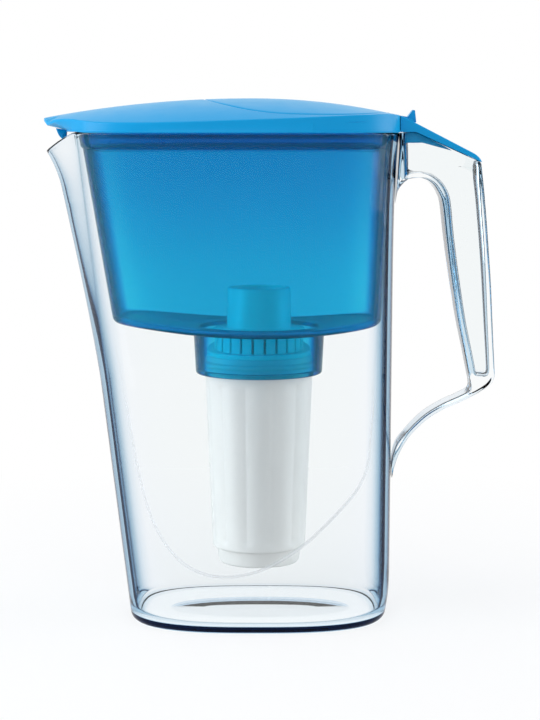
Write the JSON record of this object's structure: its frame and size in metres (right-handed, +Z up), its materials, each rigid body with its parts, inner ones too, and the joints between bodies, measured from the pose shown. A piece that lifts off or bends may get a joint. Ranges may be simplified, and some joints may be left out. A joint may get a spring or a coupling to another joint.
{
  "type": "water filter pitcher",
  "caption": "Clear tapered water filter pitcher with spout and hollow handle, a hanging funnel with drop-in cartridge, and a domed lid with a fill flap that tips back.",
  "frame": {"origin": "bottom centre of the whole pitcher's box, on the surface it stands on", "axes": "+Z up, +X from the spout towards the handle, Y across the pitcher"},
  "size_m": [0.2243, 0.106, 0.2567],
  "materials": {
    "clear_plastic": "clear moulded plastic, polished",
    "tinted_plastic": "translucent blue moulded plastic, polished",
    "white_plastic": "translucent white moulded polypropylene",
    "turquoise_plastic": "turquoise moulded polypropylene",
    "seal_rubber": "soft pale silicone",
    "screen_mesh": "woven nylon mesh",
    "filter_felt": "white fibre felt",
    "granules": "carbon and resin granules",
    "blue_plastic": "opaque blue moulded plastic, satin gloss"
  },
  "bodies": {
    "jug": {"jug_vessel": "clear_plastic", "handle_grip": "clear_plastic", "handle_brace": "clear_plastic"},
    "funnel": {"funnel": "tinted_plastic", "funnel_socket": "tinted_plastic"},
    "cartridge": {"cartridge_body": "white_plastic", "cartridge_cap": "turquoise_plastic", "cartridge_base": "white_plastic", "cartridge_seal": "seal_rubber", "inlet_screen": "screen_mesh", "inlet_pad": "filter_felt", "filter_media": "granules", "outlet_pad": "filter_felt", "outlet_screen": "screen_mesh"},
    "lid": {"lid_frame": "blue_plastic", "lid_tail": "blue_plastic", "lid_rib": "blue_plastic"},
    "flap": {"flap_panel": "blue_plastic", "flap_lever": "blue_plastic"}
  },
  "joints": [
    {"name": "funnel_lift", "type": "slide", "parent": "jug", "child": "funnel", "axis": [0, 0, 1], "range_m": [0, 0.22]},
    {"name": "cartridge_lift", "type": "slide", "parent": "funnel", "child": "cartridge", "axis": [0, 0, 1], "range_m": [0, 0.06]},
    {"name": "lid_lift", "type": "slide", "parent": "funnel", "child": "lid", "axis": [0, 0, 1], "range_m": [0, 0.08]},
    {"name": "flap_hinge", "type": "hinge", "parent": "lid", "child": "flap", "pos_m": [0.0695, 0, 0.2452], "axis": [0, 1, 0], "range_deg": [0, 75]}
  ]
}
